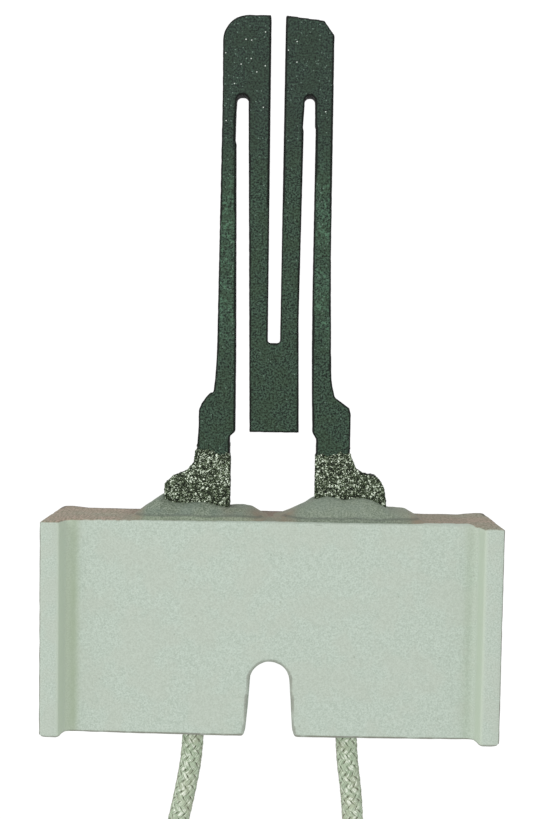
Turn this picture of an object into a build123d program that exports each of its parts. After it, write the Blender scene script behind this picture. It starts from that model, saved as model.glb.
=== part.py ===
from build123d import *

import os
from math import radians, tan

# Flat hot surface igniter: a slotted silicon carbide strip potted in a ceramic block, with two
# braided leads that end in a two-pin plug. Millimetres.
#
# The frame: the igniter lies on its back. The origin is the axis of the screw in the block's
# notch, at the back. X runs across the block, Y along the strip to its tip, Z to the front.

os.makedirs("parts", exist_ok=True)

# ---------------------------------------------------------------- ceramic block
BLOCK_WIDTH = 47.6
BLOCK_HEIGHT = 22.5
BLOCK_DEPTH = 11.1
BLOCK_BOTTOM = -5.65
BLOCK_TOP = BLOCK_BOTTOM + BLOCK_HEIGHT
MID_DEPTH = BLOCK_DEPTH / 2

# Each end has a ridge on the front with a steep inner wall, and a lower one on the back that
# slopes away to the back panel.
RIDGE_PROUD = 1.8
RIDGE_FLAT = 2.0
WALL_RUN = 0.4
WALL_FOOT_ROUND = 0.5
BACK_PROUD = 1.2
BACK_FLAT = 1.2
BACK_SLOPE_RUN = 2.2
BOTTOM_CORNER_CUT = 0.4
CORNER_ROUND = 0.2
EDGE_ROUND = 0.12
NOTCH_RADIUS = 2.1
NOTCH_MOUTH = 4.9
MOUTH_FLARE = 0.3
MOUTH_FLARE_HEIGHT = 0.7

# A cement-filled pocket each side holds the strip's foot and its contact clip.
POCKET_INNER = 3.9
POCKET_OUTER = 14.1
POCKET_BOTTOM = 3.0
POCKET_DEPTH = 5.1
POCKET_ROUND = 0.8
LEAD_X = 8.35
LEAD_HOLE_RADIUS = 1.75

# The mounds of cement over the pockets: a height, then the low and high x there.
MOUND_LEVELS = {
    "left": ((BLOCK_TOP, -15.0, -1.0), (17.8, -13.6, -2.1), (18.4, -12.7, -3.4)),
    "right": ((BLOCK_TOP, 0.4, 15.3), (17.8, 1.7, 14.4), (18.5, 2.9, 13.6)),
}
MOUND_DEPTHS = (7.0, 5.6, 4.0)
MOUND_ROUND = 0.4

# ---------------------------------------------------------------- heating element
ELEMENT_THICKNESS = 1.7
ELEMENT_BACK = MID_DEPTH - ELEMENT_THICKNESS / 2
FOOT_BOTTOM = 8.7
FOOT_OUTER_LEFT = -11.5
FOOT_OUTER_RIGHT = 12.0
FOOT_GAP_LEFT = -4.68
FOOT_GAP_RIGHT = 4.57
SLOT_LEFT_OUTER = -4.12
SLOT_RIGHT_OUTER = 4.15
TIP = 69.6
TIP_ROUND = 2.6
PLATE_BOTTOM = 26.0
PLATE_SHOULDER_LEFT = 0.5
PLATE_SHOULDER_RIGHT = 0.7
MIDDLE_SLOT_END = 35.5
SIDE_SLOT_TOP = 61.4
SIDE_SLOT_ROUND = 0.5

# Sprayed metal on the feet, which starts a little above the cement.
COAT_THICKNESS = 0.12
COAT_TOP = 23.9

# ---------------------------------------------------------------- contact clips
CLIP_X = 8.25
CLIP_WIDTH = 5.0
CLIP_THICKNESS = 0.4
CLIP_TOP = 13.0
BARREL_RADIUS = 1.0
BARREL_BOTTOM = 4.9
CLIP_BOTTOM = FOOT_BOTTOM - COAT_THICKNESS - CLIP_THICKNESS

# ---------------------------------------------------------------- leads
CONDUCTOR_RADIUS = 0.55
INSULATION_INNER = 0.62
INSULATION_OUTER = 0.88
BRAID_INNER = 0.95
BRAID_OUTER = 1.15
INSULATION_START = 4.6
ARC_SHARE = 0.45

# Each lead leaves the block's bottom face, drops to the surface, narrows to the tie, folds back
# round a loop, and goes through the tie again to the plug.
LEAD_ROUTES = {
    "left": [
        (-8.35, 4.1, 5.55),
        (-8.35, -7.0, 5.55),
        (-9.4, -15.5, 3.9),
        (-10.6, -25.0, 1.7),
        (-10.2, -36.0, 1.15),
        (-8.2, -47.0, 1.15),
        (-6.8, -57.0, 1.4),
        (-6.4, -67.5, 1.8),
        (-7.9, -75.5, 1.3),
        (-8.4, -83.0, 1.15),
        (-4.8, -90.8, 1.15),
        (3.2, -94.3, 1.15),
        (11.3, -91.0, 1.15),
        (15.1, -83.0, 1.15),
        (14.5, -75.5, 1.35),
        (13.6, -68.5, 1.75),
        (15.0, -60.5, 3.1),
        (15.0, -54.0, 3.1),
    ],
    "right": [
        (8.35, 4.1, 5.55),
        (8.35, -7.0, 5.55),
        (9.2, -15.5, 4.0),
        (9.3, -24.5, 1.8),
        (5.6, -33.0, 1.15),
        (0.0, -40.5, 1.15),
        (-3.4, -49.0, 1.15),
        (-4.2, -58.0, 1.4),
        (-3.9, -67.5, 1.8),
        (-5.2, -75.0, 1.3),
        (-5.6, -80.8, 1.15),
        (-3.4, -86.2, 1.15),
        (1.2, -89.4, 1.15),
        (6.5, -89.3, 1.15),
        (10.8, -86.1, 1.15),
        (12.4, -80.6, 1.15),
        (11.3, -74.5, 1.35),
        (9.7, -68.5, 1.75),
        (10.0, -60.5, 3.1),
        (10.0, -54.0, 3.1),
    ],
}

# ---------------------------------------------------------------- plug
PLUG_X = 12.5
PIN_PITCH = 5.0
PIN_Z = 3.1
PLUG_BACK = -58.5
PLUG_FRONT = -42.5
PLUG_WIDTH = 10.8
PLUG_THICKNESS = 6.2
PLUG_ROUND = 0.7
WIRE_BORE_RADIUS = 1.45
PIN_BORE_RADIUS = 1.2
PIN_RADIUS = 1.18
PIN_TIP = -34.0
PIN_TIP_TAPER = 1.0
PIN_TIP_RADIUS = 0.65
COLLAR_RADIUS = 1.35
COLLAR_BACK = -48.4
COLLAR_FRONT = -46.2
CRIMP_BACK = -52.8
CONDUCTOR_END = -49.0
INSULATION_END = -53.3
LATCH_WIDTH = 4.2
LATCH_HEIGHT = 1.1
LATCH_LENGTH = 6.5
LATCH_FRONT = PLUG_FRONT - 1.0
GRIP_COUNT = 3
GRIP_PITCH = 1.6
GRIP_DEPTH = 0.35
GRIP_WIDTH = 7.8
GRIP_FROM_BACK = 3.4

# ---------------------------------------------------------------- tie
TIE_Y = -68.2
TIE_WIDTH = 3.2
TIE_THICKNESS = 0.4
TIE_LEFT = -8.5
TIE_RIGHT = 15.65
TIE_HEIGHT = 3.75
TIE_ROUND = 1.5
TIE_TAIL_X = 2.0
TIE_TAIL_LENGTH = 9.0
TIE_TAIL_WIDTH = 2.0
TIE_TAIL_ROUND = 0.6
TIE_TAIL_HEIGHT = 1.0


def finish_piece(piece, name):
    """Label a finished piece and write its file."""
    piece.label = name
    export_step(piece, f"parts/{name}.step")


def level(y):
    """The XZ plane at a height y along the strip. Its normal points to -Y."""
    return Plane.XZ.offset(-y)


def bend_radii(route):
    """One arc radius for each corner, as large as its two runs leave room for."""
    radii = []
    for before, corner, after in zip(route, route[1:], route[2:]):
        run_in = Vector(*corner) - Vector(*before)
        run_out = Vector(*after) - Vector(*corner)
        half_turn = radians(run_in.get_angle(run_out)) / 2
        radii.append(ARC_SHARE * min(run_in.length, run_out.length) / tan(half_turn))
    return radii


# ---------------------------------------------------------------- ceramic block
half_width = BLOCK_WIDTH / 2
ridge_x = half_width - RIDGE_FLAT
wall_foot_x = ridge_x - WALL_RUN
back_ridge_x = half_width - BACK_FLAT
back_foot_x = back_ridge_x - BACK_SLOPE_RUN
panel_front = BLOCK_DEPTH - RIDGE_PROUD
pocket_x = (POCKET_INNER + POCKET_OUTER) / 2
pocket_width = POCKET_OUTER - POCKET_INNER

with BuildPart() as ceramic_block:
    with BuildSketch(level(BLOCK_BOTTOM)) as section:
        with BuildLine():
            Polyline(
                (0, BACK_PROUD),
                (back_foot_x, BACK_PROUD),
                (back_ridge_x, 0),
                (half_width, 0),
                (half_width, BLOCK_DEPTH),
                (ridge_x, BLOCK_DEPTH),
                (wall_foot_x, panel_front),
                (0, panel_front),
            )
            mirror(about=Plane.YZ)
        make_face()
        wall_feet = section.vertices().filter_by(lambda v: abs(abs(v.X) - wall_foot_x) < 0.01)
        fillet(wall_feet, WALL_FOOT_ROUND)
        ridge_corners = section.vertices().filter_by(lambda v: abs(v.X) > ridge_x - 0.01)
        fillet(ridge_corners, CORNER_ROUND)
    extrude(amount=-BLOCK_HEIGHT)
    with BuildSketch(Plane.XY):
        for sign in (-1, 1):
            with Locations((sign * half_width, BLOCK_BOTTOM)):
                RegularPolygon(BOTTOM_CORNER_CUT, 4, rotation=0)
    extrude(amount=BLOCK_DEPTH, mode=Mode.SUBTRACT)
    ends = ceramic_block.faces().filter_by(Axis.Y).group_by(Axis.Y)
    chamfer(ends[0].edges() + ends[-1].edges(), EDGE_ROUND)

    # The screw notch, which widens towards its mouth and has bevelled corners there.
    with BuildSketch(Plane.XY):
        with BuildLine():
            ThreePointArc((-NOTCH_RADIUS, 0), (0, NOTCH_RADIUS), (NOTCH_RADIUS, 0))
            Polyline(
                (NOTCH_RADIUS, 0),
                (NOTCH_MOUTH / 2, BLOCK_BOTTOM + MOUTH_FLARE_HEIGHT),
                (NOTCH_MOUTH / 2 + MOUTH_FLARE, BLOCK_BOTTOM),
                (-NOTCH_MOUTH / 2 - MOUTH_FLARE, BLOCK_BOTTOM),
                (-NOTCH_MOUTH / 2, BLOCK_BOTTOM + MOUTH_FLARE_HEIGHT),
                (-NOTCH_RADIUS, 0),
            )
        make_face()
    extrude(amount=BLOCK_DEPTH, mode=Mode.SUBTRACT)

    # The two pockets, and a lead hole under each.
    with BuildSketch(level(BLOCK_TOP)):
        with Locations((-pocket_x, MID_DEPTH), (pocket_x, MID_DEPTH)):
            RectangleRounded(pocket_width, POCKET_DEPTH, POCKET_ROUND)
    extrude(amount=BLOCK_TOP - POCKET_BOTTOM, mode=Mode.SUBTRACT)
    with BuildSketch(level(POCKET_BOTTOM)):
        with Locations((-LEAD_X, MID_DEPTH), (LEAD_X, MID_DEPTH)):
            Circle(LEAD_HOLE_RADIUS)
    extrude(amount=POCKET_BOTTOM - BLOCK_BOTTOM, mode=Mode.SUBTRACT)
finish_piece(ceramic_block.part, "ceramic_block")

# ---------------------------------------------------------------- heating element
# The strip is sawn by hand, so its two sides aren't quite alike.
with BuildPart() as heating_element:
    with BuildSketch(Plane.XY.offset(ELEMENT_BACK)) as strip:
        with BuildLine():
            Polyline(
                (FOOT_OUTER_LEFT, FOOT_BOTTOM),
                (-11.45, 20.35),
                (-10.75, 21.0),
                (-9.2, 21.65),
                (-8.35, 22.75),
                (-8.15, 24.0),
                (-8.03, 26.3),
                (-8.0, 28.3),
                (-7.7, 29.0),
                (-7.25, 29.65),
                (-6.8, 30.15),
                (-6.48, 30.1),
                (-6.3, 31.8),
                (-6.15, 34.6),
                (-5.9, 61.0),
                (-5.95, TIP),
                (0.6, TIP),
                (4.6, 69.1),
                (5.7, 67.6),
                (5.75, 45.0),
                (5.95, 34.9),
                (6.05, 31.8),
                (6.15, 31.1),
                (6.45, 29.8),
                (6.9, 29.5),
                (8.0, 28.7),
                (8.17, 28.1),
                (8.17, 23.6),
                (8.85, 22.1),
                (9.7, 21.6),
                (10.85, 21.45),
                (11.45, 20.9),
                (11.85, 20.0),
                (FOOT_OUTER_RIGHT, 18.6),
                (FOOT_OUTER_RIGHT, FOOT_BOTTOM),
                close=True,
            )
        make_face()
        fillet(strip.vertices().group_by(Axis.Y)[-1].sort_by(Axis.X)[0], TIP_ROUND)

        # Middle slot, open at the tip.
        with BuildLine():
            Polyline(
                (-0.91, TIP),
                (-0.79, MIDDLE_SLOT_END),
                (0.53, MIDDLE_SLOT_END),
                (0.6, TIP),
                close=True,
            )
        make_face(mode=Mode.SUBTRACT)

        # Side slots, round at the top, with a small jog where two saw cuts meet.
        for slot in (
            ((SLOT_LEFT_OUTER, PLATE_BOTTOM), (-4.16, 35.0), (-4.43, 56.6), (-4.53, 56.7), (-4.47, 60.0),
             (-4.4, SIDE_SLOT_TOP), (-3.2, SIDE_SLOT_TOP), (-3.17, 60.0), (-2.98, 49.5),
             (-2.58, PLATE_BOTTOM)),
            ((2.67, PLATE_BOTTOM), (2.46, 38.0), (2.66, 57.85), (2.56, 57.95), (2.68, 60.0),
             (2.73, SIDE_SLOT_TOP), (3.8, SIDE_SLOT_TOP), (3.83, 60.0), (3.85, 58.4), (3.93, 58.3),
             (3.9, 42.0), (3.94, 35.0), (4.03, 30.0), (SLOT_RIGHT_OUTER, PLATE_BOTTOM)),
        ):
            with BuildSketch(mode=Mode.PRIVATE) as cut:
                with BuildLine():
                    Polyline(*slot, close=True)
                make_face()
                fillet(cut.vertices().group_by(Axis.Y)[-1], SIDE_SLOT_ROUND)
            add(cut.sketch, mode=Mode.SUBTRACT)
        with BuildLine():
            Polyline(
                (FOOT_GAP_LEFT, FOOT_BOTTOM),
                (FOOT_GAP_LEFT, PLATE_BOTTOM - PLATE_SHOULDER_LEFT),
                (SLOT_LEFT_OUTER, PLATE_BOTTOM),
                (SLOT_RIGHT_OUTER, PLATE_BOTTOM),
                (FOOT_GAP_RIGHT, PLATE_BOTTOM - PLATE_SHOULDER_RIGHT),
                (FOOT_GAP_RIGHT, FOOT_BOTTOM),
                close=True,
            )
        make_face(mode=Mode.SUBTRACT)
    extrude(amount=ELEMENT_THICKNESS)
finish_piece(heating_element.part, "heating_element")

# ---------------------------------------------------------------- coats, clips and cement
coat_back = ELEMENT_BACK - COAT_THICKNESS
coat_depth = ELEMENT_THICKNESS + 2 * COAT_THICKNESS

for side, sign in (("left", -1), ("right", 1)):
    with BuildPart() as metal_coat:
        with BuildSketch(Plane.XY.offset(coat_back)):
            add(strip.sketch.moved(Location((0, 0, coat_back - ELEMENT_BACK))))
            with Locations((sign * BLOCK_WIDTH / 4, (FOOT_BOTTOM + COAT_TOP) / 2)):
                Rectangle(BLOCK_WIDTH / 2, COAT_TOP - FOOT_BOTTOM, mode=Mode.INTERSECT)
            offset(amount=COAT_THICKNESS, kind=Kind.INTERSECTION)
        extrude(amount=coat_depth)
        add(heating_element.part, mode=Mode.SUBTRACT)
    finish_piece(metal_coat.part, f"metal_coat_{side}")

    # A folded strip that grips the coated foot, with a barrel crimped on the conductor.
    with BuildPart() as contact_clip:
        with BuildSketch(Plane.YZ.offset(sign * CLIP_X - CLIP_WIDTH / 2)):
            with Locations(((CLIP_BOTTOM + CLIP_TOP) / 2, MID_DEPTH)):
                Rectangle(CLIP_TOP - CLIP_BOTTOM, coat_depth + 2 * CLIP_THICKNESS)
            with Locations(((CLIP_BOTTOM + CLIP_THICKNESS + CLIP_TOP) / 2, MID_DEPTH)):
                Rectangle(CLIP_TOP - CLIP_BOTTOM - CLIP_THICKNESS, coat_depth, mode=Mode.SUBTRACT)
        extrude(amount=CLIP_WIDTH)
        with BuildSketch(level(CLIP_BOTTOM)):
            with Locations((sign * LEAD_X, MID_DEPTH)):
                Circle(BARREL_RADIUS)
                Circle(CONDUCTOR_RADIUS, mode=Mode.SUBTRACT)
        extrude(amount=CLIP_BOTTOM - BARREL_BOTTOM)
    finish_piece(contact_clip.part, f"contact_clip_{side}")

    # Cement fills the pocket round the foot, the clip and the lead's end, and stands in a mound.
    with BuildPart() as cement:
        with BuildSketch(level(BLOCK_TOP)):
            with Locations((sign * pocket_x, MID_DEPTH)):
                RectangleRounded(pocket_width, POCKET_DEPTH, POCKET_ROUND)
        extrude(amount=BLOCK_TOP - POCKET_BOTTOM)
        for (height, low_x, high_x), depth in zip(MOUND_LEVELS[side], MOUND_DEPTHS):
            with BuildSketch(level(height)):
                with Locations(((low_x + high_x) / 2, MID_DEPTH)):
                    RectangleRounded(high_x - low_x, depth, depth * MOUND_ROUND)
        loft()
        add(heating_element.part, mode=Mode.SUBTRACT)
        add(metal_coat.part, mode=Mode.SUBTRACT)
        add(contact_clip.part, mode=Mode.SUBTRACT)
        for start, end, radius in (
            (CLIP_BOTTOM, POCKET_BOTTOM, CONDUCTOR_RADIUS),
            (INSULATION_START, POCKET_BOTTOM, INSULATION_OUTER),
            (LEAD_ROUTES[side][0][1], POCKET_BOTTOM, BRAID_OUTER),
        ):
            with BuildSketch(level(start)):
                with Locations((sign * LEAD_X, MID_DEPTH)):
                    Circle(radius)
            extrude(amount=start - end, mode=Mode.SUBTRACT)
    finish_piece(cement.part, f"cement_{side}")

# ---------------------------------------------------------------- leads
# Each lead is three nested pieces on one route: braid, insulation and conductor. The inner ones
# run on past the braid's ends, into the clip's barrel and the terminal's.
for side, route in LEAD_ROUTES.items():
    radii = bend_radii(route)
    print(f"lead_{side} bend radii", [round(radius, 1) for radius in radii])
    start_x, braid_start, start_z = route[0]
    end_x, braid_end, end_z = route[-1]
    for name, outer, inner, start, end in (
        ("lead", BRAID_OUTER, BRAID_INNER, braid_start, braid_end),
        ("lead_insulation", INSULATION_OUTER, INSULATION_INNER, INSULATION_START, INSULATION_END),
        ("lead_conductor", CONDUCTOR_RADIUS, 0, CLIP_BOTTOM, CONDUCTOR_END),
    ):
        ends_moved = [(start_x, start, start_z), *route[1:-1], (end_x, end, end_z)]
        with BuildPart() as tube:
            with BuildLine():
                centre = FilletPolyline(*ends_moved, radius=radii)
            with BuildSketch(Plane(origin=centre @ 0, z_dir=centre % 0)) as ring:
                Circle(outer)
                if inner:
                    Circle(inner, mode=Mode.SUBTRACT)
            sweep()
        volume_ratio = tube.part.volume / (ring.sketch.area * centre.length)
        print(f"{name}_{side} length {centre.length:.1f}, volume ratio {volume_ratio:.4f}")
        finish_piece(tube.part, f"{name}_{side}")

# ---------------------------------------------------------------- plug
plug_length = PLUG_FRONT - PLUG_BACK

with BuildPart() as plug_housing:
    with BuildSketch(level(PLUG_BACK)):
        with Locations((PLUG_X, PLUG_THICKNESS / 2)):
            Rectangle(PLUG_WIDTH, PLUG_THICKNESS)
    extrude(amount=-plug_length)
    fillet(plug_housing.edges().filter_by(Axis.Y), PLUG_ROUND)
    chamfer(plug_housing.faces().filter_by(Axis.Y).edges(), EDGE_ROUND)

    # Grip grooves on the front face near the back, and a latch ramp ahead of them.
    with BuildSketch(Plane.XY.offset(PLUG_THICKNESS)):
        with Locations((PLUG_X, PLUG_BACK + GRIP_FROM_BACK)):
            with GridLocations(0, GRIP_PITCH, 1, GRIP_COUNT):
                Rectangle(GRIP_WIDTH, GRIP_PITCH / 2)
    extrude(amount=-GRIP_DEPTH, mode=Mode.SUBTRACT)
    with BuildSketch(Plane.YZ.offset(PLUG_X - LATCH_WIDTH / 2)):
        with BuildLine():
            Polyline(
                (LATCH_FRONT, PLUG_THICKNESS),
                (LATCH_FRONT - LATCH_LENGTH, PLUG_THICKNESS + LATCH_HEIGHT),
                (LATCH_FRONT - LATCH_LENGTH, PLUG_THICKNESS),
                close=True,
            )
        make_face()
    extrude(amount=LATCH_WIDTH)

    # Bores for the wires and terminals.
    with BuildSketch(level(PLUG_BACK)):
        with Locations((PLUG_X, PIN_Z)):
            with GridLocations(PIN_PITCH, 0, 2, 1):
                Circle(WIRE_BORE_RADIUS)
    extrude(amount=-(COLLAR_FRONT - PLUG_BACK), mode=Mode.SUBTRACT)
    with BuildSketch(level(COLLAR_FRONT)):
        with Locations((PLUG_X, PIN_Z)):
            with GridLocations(PIN_PITCH, 0, 2, 1):
                Circle(PIN_BORE_RADIUS)
    extrude(amount=-(PLUG_FRONT - COLLAR_FRONT), mode=Mode.SUBTRACT)
finish_piece(plug_housing.part, "plug_housing")

for name, x in (
    ("terminal_pin_right", PLUG_X - PIN_PITCH / 2),
    ("terminal_pin_left", PLUG_X + PIN_PITCH / 2),
):
    with BuildPart() as terminal_pin:
        with BuildSketch(Plane(origin=(x, 0, PIN_Z))):
            with BuildLine():
                Polyline(
                    (0, PIN_TIP),
                    (PIN_TIP_RADIUS, PIN_TIP),
                    (PIN_RADIUS, PIN_TIP - PIN_TIP_TAPER),
                    (PIN_RADIUS, COLLAR_FRONT),
                    (COLLAR_RADIUS, COLLAR_FRONT),
                    (COLLAR_RADIUS, COLLAR_BACK),
                    (BARREL_RADIUS, COLLAR_BACK),
                    (BARREL_RADIUS, CRIMP_BACK),
                    (CONDUCTOR_RADIUS, CRIMP_BACK),
                    (CONDUCTOR_RADIUS, CONDUCTOR_END),
                    (0, CONDUCTOR_END),
                    close=True,
                )
            make_face()
        revolve(axis=Axis((x, 0, PIN_Z), (0, 1, 0)))
    finish_piece(terminal_pin.part, name)

# ---------------------------------------------------------------- tie
# A flat oval band round the four strands, with its twisted tail lying on top.
tie_middle_x = (TIE_LEFT + TIE_RIGHT) / 2
tie_length = TIE_RIGHT - TIE_LEFT

with BuildPart() as lead_tie:
    with BuildSketch(level(TIE_Y - TIE_WIDTH / 2)):
        with Locations((tie_middle_x, TIE_HEIGHT / 2)):
            RectangleRounded(tie_length, TIE_HEIGHT, TIE_ROUND)
            RectangleRounded(
                tie_length - 2 * TIE_THICKNESS,
                TIE_HEIGHT - 2 * TIE_THICKNESS,
                TIE_ROUND - TIE_THICKNESS,
                mode=Mode.SUBTRACT,
            )
    extrude(amount=-TIE_WIDTH)
    with BuildSketch(Plane.XY.offset(TIE_HEIGHT)):
        with Locations((TIE_TAIL_X, TIE_Y)):
            RectangleRounded(TIE_TAIL_LENGTH, TIE_TAIL_WIDTH, TIE_TAIL_ROUND)
    extrude(amount=TIE_TAIL_HEIGHT)
finish_piece(lead_tie.part, "lead_tie")
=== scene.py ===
import math

import bmesh
import bpy
import numpy as np
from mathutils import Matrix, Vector, noise


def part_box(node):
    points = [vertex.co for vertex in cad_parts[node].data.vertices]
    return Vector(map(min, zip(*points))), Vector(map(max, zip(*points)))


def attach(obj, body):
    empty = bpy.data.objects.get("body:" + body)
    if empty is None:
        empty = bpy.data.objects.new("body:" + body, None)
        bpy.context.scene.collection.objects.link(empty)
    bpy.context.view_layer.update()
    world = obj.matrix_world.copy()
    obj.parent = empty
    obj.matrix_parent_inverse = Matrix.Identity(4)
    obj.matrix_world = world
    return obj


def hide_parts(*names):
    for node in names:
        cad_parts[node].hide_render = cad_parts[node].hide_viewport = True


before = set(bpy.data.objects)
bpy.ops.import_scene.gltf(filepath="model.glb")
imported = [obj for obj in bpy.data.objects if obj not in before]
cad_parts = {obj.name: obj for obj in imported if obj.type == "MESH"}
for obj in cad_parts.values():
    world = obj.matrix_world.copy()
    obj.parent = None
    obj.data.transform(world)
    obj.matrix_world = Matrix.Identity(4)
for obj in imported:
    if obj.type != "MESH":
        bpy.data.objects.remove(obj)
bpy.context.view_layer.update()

# A flat hot surface igniter lying on its back: a slotted silicon carbide strip, its two sprayed
# feet cemented in a ceramic block, and two braided leads folded into a tied hank with a plug.
# Metres, in the CAD model's frame: X across the block, Y along the strip, Z to the front.

MM = 0.001
SIDES = ("left", "right")


def mm(*values):
    """A point in metres, from millimetres."""
    return Vector(values) * MM


def srgb(red, green, blue):
    """A linear colour from screen values of 0 to 255."""
    shares = [value / 255 for value in (red, green, blue)]
    return [v / 12.92 if v <= 0.04045 else ((v + 0.055) / 1.055) ** 2.4 for v in shares] + [1.0]


def smooth(value, low, high):
    """0 below low, 1 above high and an even rise between them."""
    share = np.clip((value - low) / (high - low), 0, 1)
    return share * share * (3 - 2 * share)


# ---------------------------------------------------------------- camera
camera = bpy.data.objects.new("camera", bpy.data.cameras.new("camera"))
bpy.context.scene.collection.objects.link(camera)
bpy.context.scene.camera = camera
# It looks nearly straight down at the part's front, from about 100 mm above it.
camera.location = mm(1.02, 33.71, 110.65)
camera.rotation_euler = [math.radians(turn) for turn in (-2.878, 0.808, 0.905)]
camera.data.sensor_width = 36
camera.data.lens = 43.2
camera.data.clip_start = 0.005
camera.data.clip_end = 5


# ---------------------------------------------------------------- shaders
class Shader:
    """One material's nodes, built up by calls that each return a socket."""

    def __init__(self, name, **settings):
        self.material = bpy.data.materials.new(name)
        self.material.use_nodes = True
        self.nodes = self.material.node_tree.nodes
        self.links = self.material.node_tree.links
        self.surface = self.nodes["Principled BSDF"]
        self.place = self.nodes.new("ShaderNodeTexCoord").outputs["Object"]
        for key, value in settings.items():
            self.put(self.surface.inputs[key.replace("_", " ")], value)

    def put(self, socket, value):
        """Links the value to the socket, or sets it as the socket's constant."""
        if isinstance(value, bpy.types.NodeSocket):
            self.links.new(value, socket)
        else:
            socket.default_value = value

    def set(self, **values):
        """Sets or links the surface's own sockets, such as Base_Color."""
        for key, value in values.items():
            self.put(self.surface.inputs[key.replace("_", " ")], value)

    def maths(self, operation, first, second=0.0):
        node = self.nodes.new("ShaderNodeMath")
        node.operation = operation
        self.put(node.inputs[0], first)
        self.put(node.inputs[1], second)
        return node.outputs[0]

    def times(self, first, *others):
        """The product of two or more values."""
        for other in others:
            first = self.maths("MULTIPLY", first, other)
        return first

    def plus(self, first, second):
        return self.maths("ADD", first, second)

    def most(self, first, second):
        return self.maths("MAXIMUM", first, second)

    def noise(self, per_mm, detail=2.0, roughness=0.5, vector=None):
        """Smooth noise round 0.5, at a scale per millimetre, or per unit of the vector given."""
        node = self.nodes.new("ShaderNodeTexNoise")
        self.put(node.inputs["Vector"], vector or self.place)
        self.put(node.inputs["Scale"], per_mm if vector else per_mm / MM)
        self.put(node.inputs["Detail"], detail)
        self.put(node.inputs["Roughness"], roughness)
        return node.outputs["Fac"]

    def cells(self, per_mm):
        """Distance to the nearest of scattered points, and a random colour for each."""
        node = self.nodes.new("ShaderNodeTexVoronoi")
        self.put(node.inputs["Vector"], self.place)
        self.put(node.inputs["Scale"], per_mm / MM)
        return node.outputs["Distance"], node.outputs["Color"]

    def fade(self, value, low, high, start=0.0, end=1.0):
        """start below low, end above high, with a smooth change between."""
        node = self.nodes.new("ShaderNodeMapRange")
        node.interpolation_type = "SMOOTHSTEP"
        for socket, setting in zip(node.inputs, (value, low, high, start, end)):
            self.put(socket, setting)
        return node.outputs[0]

    def band(self, value, rise, fall):
        """1 between a smooth rise and a smooth fall, each given by its two ends."""
        return self.times(self.fade(value, *rise), self.fade(value, *fall, 1, 0))

    def mix(self, share, first, second):
        """The first colour where the share is 0, the second where it is 1."""
        node = self.nodes.new("ShaderNodeMix")
        node.data_type = "RGBA"
        self.put(node.inputs[0], share)
        self.put(node.inputs[6], first)
        self.put(node.inputs[7], second)
        return node.outputs[2]

    def parts(self, vector):
        """A vector's X, Y and Z."""
        node = self.nodes.new("ShaderNodeSeparateXYZ")
        self.put(node.inputs[0], vector)
        return node.outputs

    def vector(self, x, y, z=0.0):
        node = self.nodes.new("ShaderNodeCombineXYZ")
        for socket, value in zip(node.inputs, (x, y, z)):
            self.put(socket, value)
        return node.outputs[0]

    def normal(self):
        return self.nodes.new("ShaderNodeNewGeometry").outputs["Normal"]

    def attribute(self, name):
        """A number stored at each vertex of the mesh."""
        node = self.nodes.new("ShaderNodeAttribute")
        node.attribute_name = name
        return node.outputs["Fac"]

    def bump(self, height, depth_mm, strength=1.0):
        node = self.nodes.new("ShaderNodeBump")
        self.put(node.inputs["Height"], height)
        self.put(node.inputs["Distance"], depth_mm * MM)
        self.put(node.inputs["Strength"], strength)
        self.put(self.surface.inputs["Normal"], node.outputs[0])


# Where the block's colours change. Each pair is the start and the end of one smooth step: the
# ridges' walls in millimetres from the middle, and the front and the rear in metres.
WALL_START = (21.3, 21.6)
WALL_END = (21.7, 22.2)
FRONT_START = (0.0075, 0.009)
REAR_END = (0.002, 0.003)
# The mounds of cement cover the top's middle, and this is where they end.
MOUNDS_END = (14, 17)
MOUNDS_BEHIND = (0.0042, 0.0065)


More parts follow.
